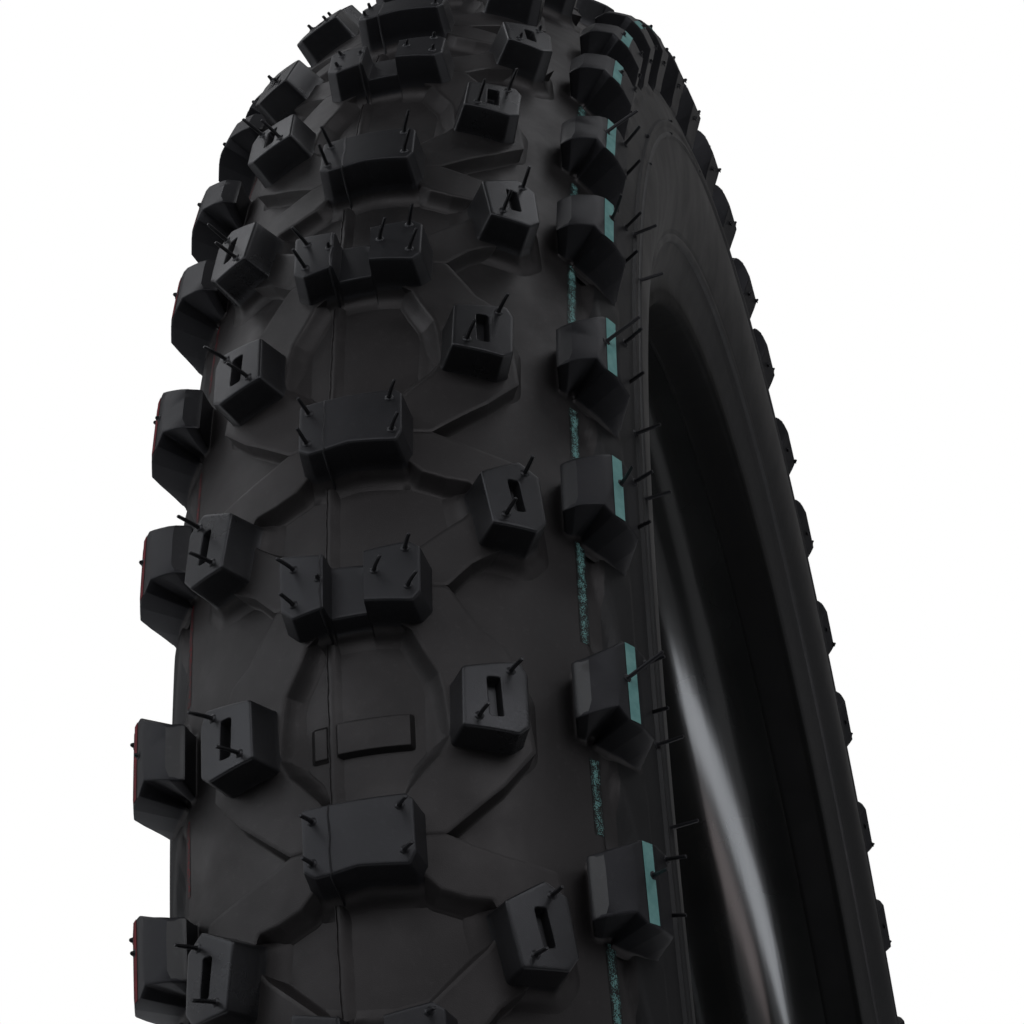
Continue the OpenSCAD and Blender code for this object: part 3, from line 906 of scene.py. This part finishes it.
def revolve(profile, steps=TURN_STEPS, lift=None):
    """Turns a closed outline of (radius, y) about the spin axis, with point i moved out by lift(i, turn)."""
    points = []
    for k in range(steps):
        turn = 2 * math.pi * k / steps
        for i, (r, y) in enumerate(profile):
            move = (lift(i, turn) if lift else 0) / (math.hypot(r - CENTRE_R, y) or 1)
            out = r + move * (r - CENTRE_R)
            points.append((out * math.cos(turn) * MM, y * (1 + move) * MM, out * math.sin(turn) * MM))
    mesh = Mesh()
    faces = grid_faces(steps + 1, len(profile), True)
    mesh.add(points, [tuple(i % len(points) for i in f) for f in faces])
    return mesh


def at(rho, degrees):
    a = math.radians(degrees)
    return (CENTRE_R + rho * math.cos(a), rho * math.sin(a))


def arc(rho, a0, a1, steps):
    return [at(rho, a0 + (a1 - a0) * i / steps) for i in range(steps + 1)]


COVER_CROWN, COVER_SIDE = 4.1, 3.1          # rubber over the plies at the crown and at the sides
PLIES, PLY_T = 3, 0.9                       # layers of cord, and the thickness of each one
CROWN_END, CASING_END = 60, 114             # degrees of section where the tread and the sidewall end


def ease(x, low, high):
    """Rises smoothly from 0 at low to 1 at high."""
    t = min(max((x - low) / (high - low), 0), 1)
    return t * t * (3 - 2 * t)


GAPS = ((37.5, 53.5), (75.5, 98))   # where the outer blocks leave the shoulder free, along the tread
POCKET_D = 1.1
PAD_H = 0.35


def shoulder_relief(profile):
    """Between the outer blocks, the shoulder has a pocket beside the stripe and a raised pad beyond it."""
    angles = [math.degrees(math.atan2(abs(y), r - CENTRE_R)) for r, y in profile]
    outside = [math.hypot(r - CENTRE_R, y) > BASE_RHO - 0.5 for r, y in profile]

    def lift(i, turn):
        a = angles[i]
        if not outside[i] or not 53 < a < 74:
            return 0
        v = turn * TIRE_R % PITCH
        total = 0
        for low, high in GAPS:
            at_v = v + PITCH if v < high - PITCH else v
            share = ease(at_v, low - 0.5, low + 1) * (1 - ease(at_v, high - 1, high + 0.5))
            edge = 64 - 5.5 * ease(at_v, low, high)
            pocket = ease(a, 53.8, 55.2) * (1 - ease(a, edge - 1.3, edge))
            pad = ease(a, edge + 0.3, edge + 1.2) * (1 - ease(a, 70, 71.5))
            total += share * (PAD_H * pad - POCKET_D * pocket)
        return total

    return lift


def tread_base():
    """The band that the blocks stand on."""
    inner = BASE_RHO - COVER_CROWN + 1.9
    side = arc(BASE_RHO, 52, CROWN_END, 11)
    middle = arc(BASE_RHO, -51, 51, 34)
    profile = [(r, -y) for r, y in side[::-1]] + middle + side + arc(inner, CROWN_END - 1, 1 - CROWN_END, 20)
    return revolve(profile, FINE_STEPS, shoulder_relief(profile))


def sidewall():
    """One side's outer skin, with two fine ribs, each point of them (degrees, height)."""
    ribs = [(79.2, 0), (79.7, 0.55), (80.4, 0.62), (81, 0.5), (81.6, 0.1), (83.4, 0.1), (84, 0.45),
            (84.7, 0.5), (85.2, 0)]
    outside = arc(BASE_RHO, CROWN_END, 73, 18) + [at(BASE_RHO, 76)] + [at(BASE_RHO + z, a) for a, z in ribs]
    outside += arc(BASE_RHO, 87, CASING_END, 12)
    profile = outside + arc(BASE_RHO - COVER_SIDE + 0.1, CASING_END, CROWN_END, 16)
    return revolve(profile, FINE_STEPS, shoulder_relief(profile))


FACE_Y = 31.4               # the bead's outer face, from the centre plane
TOE_Y = 21.8                # and its toe
WIRE_IN = FACE_Y - 6.4
WIRE_LOW = BEAD_R + 2.3


def chafer():
    """The bead's skin, from the sidewall round the heel, along the seat to the toe and up inside."""
    outside = arc(BASE_RHO, CASING_END, 121, 5)
    outside += [(BEAD_R + 9.6, FACE_Y + 2.4), (BEAD_R + 7.6, FACE_Y + 0.9), (BEAD_R + 5.7, FACE_Y)]
    heel = [(BEAD_R + 1.7, FACE_Y), (BEAD_R + 0.9, FACE_Y - 0.25), (BEAD_R + 0.25, FACE_Y - 0.85),
            (BEAD_R, FACE_Y - 1.6)]
    toe = [(BEAD_R, TOE_Y + 0.3), (BEAD_R + 0.35, TOE_Y - 0.6), (BEAD_R + 0.9, TOE_Y - 1),
           (BEAD_R + 1.8, TOE_Y - 0.9), (BEAD_R + 3.3, TOE_Y - 0.2), (BEAD_R + 6, TOE_Y + 1.4),
           (BEAD_R + 8, WIRE_IN - 1.4)]
    back = [(WIRE_LOW + 4, WIRE_IN - 0.6), (WIRE_LOW - 0.8, WIRE_IN - 0.9), (WIRE_LOW - 0.8, FACE_Y - 2.2),
            (WIRE_LOW + 5, FACE_Y - 1.4), at(BASE_RHO - COVER_SIDE + 0.2, 120),
            at(BASE_RHO - COVER_SIDE + 0.1, CASING_END)]
    return revolve(outside + heel + toe + back)


def inner_liner():
    """The smooth inside skin, below the layers of cord."""
    surface = BASE_RHO - COVER_SIDE - PLIES * PLY_T
    crown = BASE_RHO - COVER_CROWN - PLIES * PLY_T
    end, steps = CASING_END + 8, 60

    def rho(a):
        return np.interp(abs(a), (48, 72), (crown, surface))

    angles = [end - 2 * end * i / steps for i in range(steps + 1)]
    inside_line = [at(rho(a), a) for a in angles]
    outside_line = [at(rho(a) + PLY_T, a) for a in angles[::-1]]
    return revolve(inside_line + outside_line)


def fitting_line():
    """The fine line beside the bead, each point of it (height, degrees)."""
    profile = [(-0.3, 115.2), (0.4, 115.9), (0.65, 116.5), (0.65, 117.5), (0.4, 118.1), (-0.3, 118.8)]
    return revolve([at(BASE_RHO + z, a) for z, a in profile])


# ---- The tire

TOP_UNITS = range(5, 9)     # the repeats whose hairs are worn
WORN = 0.3
FAR_UNITS = range(5, 21)    # the repeats whose right shoulder has no more than nubs
tread_base().piece("tread_base_rubber", [TREAD], ["tread_base"], "tread")
inner_liner().piece("liner_skin", [LINER], ["inner_liner"], "liner")
all_round(solid_block, TOP_UNITS, WORN).piece(
    "centre_blocks_solid_detail", [BLOCK, TREAD], ["centre_blocks_solid"], "tread")
all_round(grooved_block, TOP_UNITS, WORN).piece(
    "centre_blocks_grooved_detail", [BLOCK, TREAD], ["centre_blocks_grooved"], "tread")
wear_bars().around(range(2, UNITS, 4)).piece("wear_bars_detail", [TREAD, TREAD], ["wear_bars"], "tread")
parting_ridge().around().piece("parting_ridge_detail", [TREAD], ["parting_ridge"], "tread")

SIDES = {
    "sidewall": (sidewall(), [SIDEWALL], "sidewall"),
    "chafer": (chafer(), [CHAFER], "chafer"),
    "fitting_line": (fitting_line(), [SIDEWALL], "sidewall"),
    "inner_side_blocks": (all_round(inner_side_block, TOP_UNITS, WORN), [SIDE_BLOCK, TREAD], "tread"),
    "outer_side_blocks": (all_round(outer_side_block, TOP_UNITS, WORN), [SIDE_BLOCK, TREAD], "tread"),
    "tie_bars": (tie_bars().around(), [TREAD], "tread")}
for name, (mesh, materials, slot) in SIDES.items():
    mesh.piece(name + "_right_detail", materials, [name + "_right"], slot)
    mesh.mirrored().piece(name + "_left_detail", materials, [name + "_left"], slot)
# the shoulder blocks' faces carry painted shade and their bevels a painted highlight
SHOULDER_SKINS = [SHOULDER, TREAD, BEVEL_HIGHLIGHT]
FOLD = 27                   # degrees, so that the shoulder's folds show as edges
all_round(shoulder_blocks, FAR_UNITS, 0).piece(
    "shoulder_blocks_right_detail", SHOULDER_SKINS, ["shoulder_blocks_right"], "tread", FOLD)
shoulder_blocks(0).around().mirrored().piece(
    "shoulder_blocks_left_detail", SHOULDER_SKINS, ["shoulder_blocks_left"], "tread", FOLD)

stripes().around().piece("stripe_right_paint", PAINTS["right"], ["stripe_right"], "teal_paint")
stripes(0.8).around().mirrored().piece("stripe_left_paint", PAINTS["left"], ["stripe_left"], "red_paint")

# the CAD solids that stay as they are
HIDDEN = {
    "carcass_ply_inner": PLY, "carcass_ply_outer": PLY, "breaker_ply": PLY, "undertread": TREAD,
    "bead_wire_left": STEEL, "bead_wire_right": STEEL,
    "bead_filler_left": FILLER, "bead_filler_right": FILLER}
for name, material in HIDDEN.items():
    data = frame["nodes"][name].data
    data.materials.clear()
    data.materials.append(material)


# ---- Floor, light and background


def floor():
    """A pale round floor under the tire."""
    data = bpy.data.meshes.new("floor")
    sides, radius = 96, 1.7
    turns = [2 * math.pi * k / sides for k in range(sides)]
    ring = [(radius * math.cos(a), radius * math.sin(a), FLOOR_Z * MM) for a in turns]
    data.from_pydata(ring, [], [tuple(range(sides))])
    n = Nodes("floor_paper")
    tone = n.ramp(n.noise(6, 3), [(0.3, (0.8, 0.8, 0.8)), (0.7, (0.84, 0.84, 0.84))])
    data.materials.append(n.finish(tone, n.spread(n.noise(40), 0.6, 0.75)))
    disc = bpy.data.objects.new("floor", data)
    bpy.context.scene.collection.objects.link(disc)


def area_light(name, at_mm, to_mm, size, power, color, along=(0, 1, 0)):
    """A soft light, its size in metres and its power in watts, with its width along this direction."""
    data = bpy.data.lights.new(name, "AREA")
    data.shape = "RECTANGLE"
    data.size, data.size_y = size
    data.energy = power
    data.color = color
    light = bpy.data.objects.new(name, data)
    here, there = Vector(at_mm) * MM, Vector(to_mm) * MM
    z = (here - there).normalized()
    y = z.cross(Vector(along)).normalized()
    light.matrix_world = Matrix.Translation(here) @ Matrix((y.cross(z), y, z)).transposed().to_4x4()
    light.visible_camera = False
    bpy.context.scene.collection.objects.link(light)


def background():
    """White to the camera, and a dimmer even light on the tire."""
    world = bpy.data.worlds.new("studio")
    world.use_nodes = True
    tree = world.node_tree
    tree.nodes.clear()
    ray = tree.nodes.new("ShaderNodeLightPath")
    seen, lighting = (tree.nodes.new("ShaderNodeBackground") for _ in range(2))
    seen.inputs["Strength"].default_value = 1.0
    seen.inputs["Color"].default_value = (1, 1, 1, 1)
    lighting.inputs["Strength"].default_value = 0.035
    lighting.inputs["Color"].default_value = (0.93, 0.95, 1, 1)
    mix = tree.nodes.new("ShaderNodeMixShader")
    out = tree.nodes.new("ShaderNodeOutputWorld")
    tree.links.new(ray.outputs["Is Camera Ray"], mix.inputs[0])
    tree.links.new(lighting.outputs[0], mix.inputs[1])
    tree.links.new(seen.outputs[0], mix.inputs[2])
    tree.links.new(mix.outputs[0], out.inputs["Surface"])
    bpy.context.scene.world = world


floor()
DAYLIGHT = (0.96, 0.97, 1)
area_light("overhead", (1200, -150, 1700), (290, 0, 180), (1.5, 1.1), 5.2, DAYLIGHT)
area_light("side_right", (800, 1050, 1550), (280, 0, 190), (0.9, 0.9), 4.2, DAYLIGHT)
area_light("side_left", (640, -1300, 1480), (280, 0, 190), (1.3, 1.1), 5.8, (0.93, 0.96, 1))
area_light("back_right", (-1200, 1200, 1800), (-200, 0, 0), (1.3, 1.3), 5, DAYLIGHT)
area_light("back_left", (-1200, -1200, 1800), (-200, 0, 0), (1.3, 1.3), 5, DAYLIGHT)
area_light("fill_right", (0, 2000, 450), (0, 0, 0), (1.8, 1.3), 2.6, DAYLIGHT)
area_light("fill_left", (-300, -2000, 450), (0, 0, 0), (1.8, 1.3), 5, DAYLIGHT)
area_light("fill_back", (-2100, 0, 500), (0, 0, 0), (1.8, 1.3), 1.6, (1, 0.98, 0.97))
# two cards low in the hole, which the glossy liner at the far side reflects
area_light(
    "low_card", (-15, -20, -197), (-308, -2, 120), (0.42, 0.06), 0.42, (0.9, 0.94, 1),
    (0.139, -0.275, 0.067))
area_light(
    "warm_card", (-32, 128, -182), (-312, -10, 110), (0.32, 0.04), 0.07, (1, 0.86, 0.86),
    (0.193, -0.256, 0.043))
background()
bpy.context.scene.view_settings.view_transform = "Standard"
